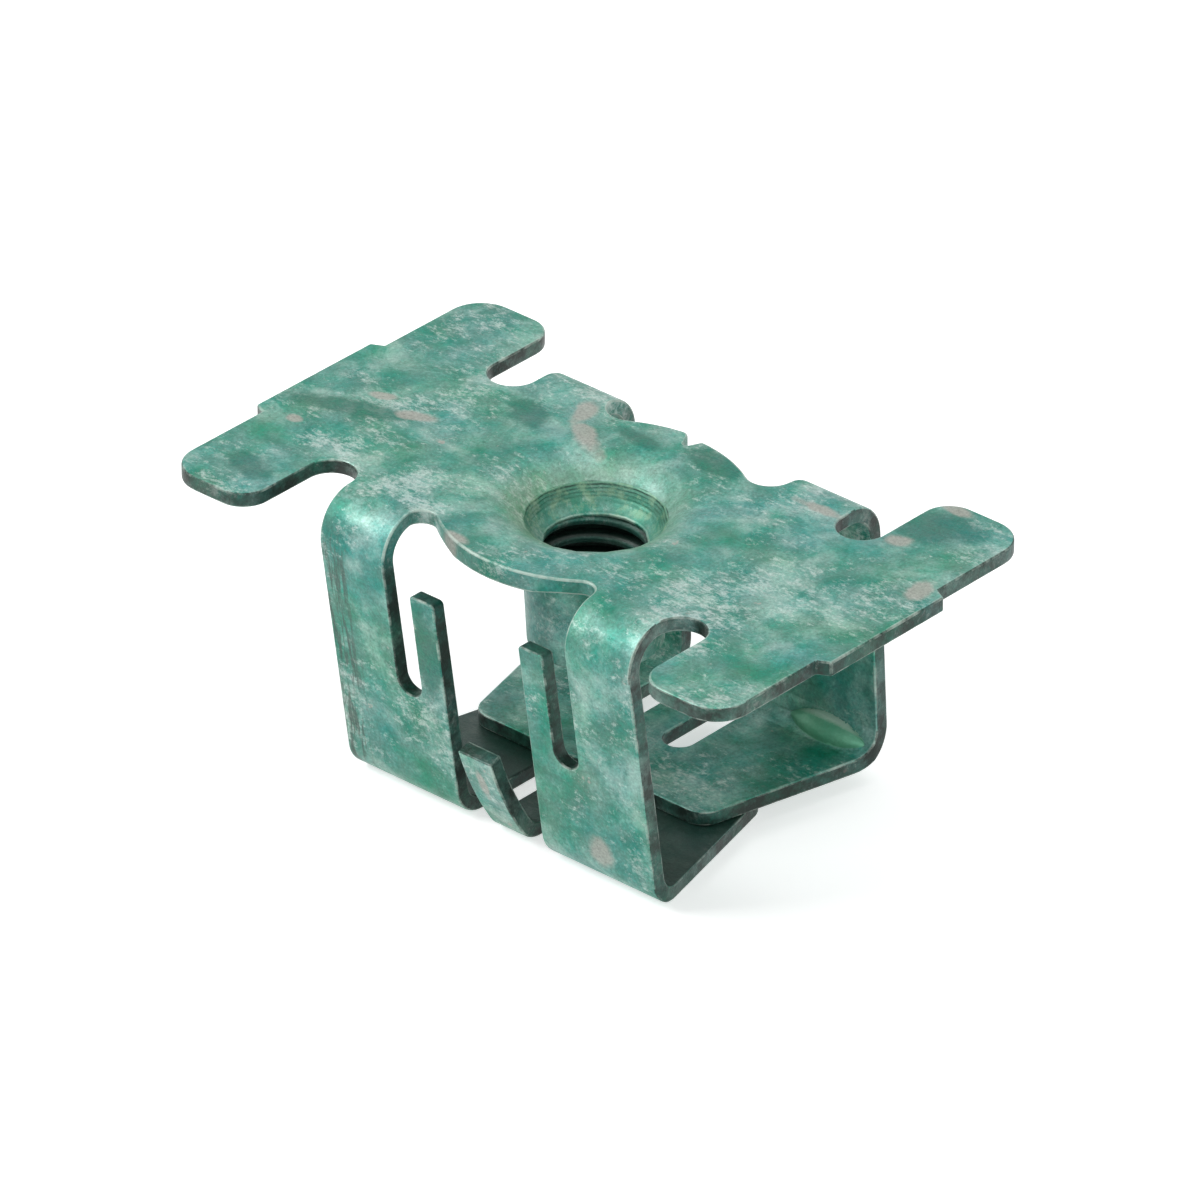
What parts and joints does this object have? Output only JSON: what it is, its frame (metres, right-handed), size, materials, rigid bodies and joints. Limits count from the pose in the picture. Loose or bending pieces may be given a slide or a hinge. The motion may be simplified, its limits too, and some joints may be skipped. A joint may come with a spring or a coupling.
{
  "type": "shield nut",
  "caption": "Folded sheet nut: a winged plate with a drawn threaded collar over an open box of slotted legs, lapped flanges and sprung tongues.",
  "frame": {"origin": "on the thread's axis, in the plane of the lower flange's underside that the part stands on", "axes": "+X along the wings of the plate, +Z along the thread out of its mouth, -Y toward the leaning legs"},
  "size_m": [0.0362, 0.022, 0.0159],
  "materials": {
    "green_zinc": "satin green chromated zinc plate on steel sheet"
  },
  "bodies": {
    "root": {"shield_nut": "green_zinc"}
  },
  "joints": []
}
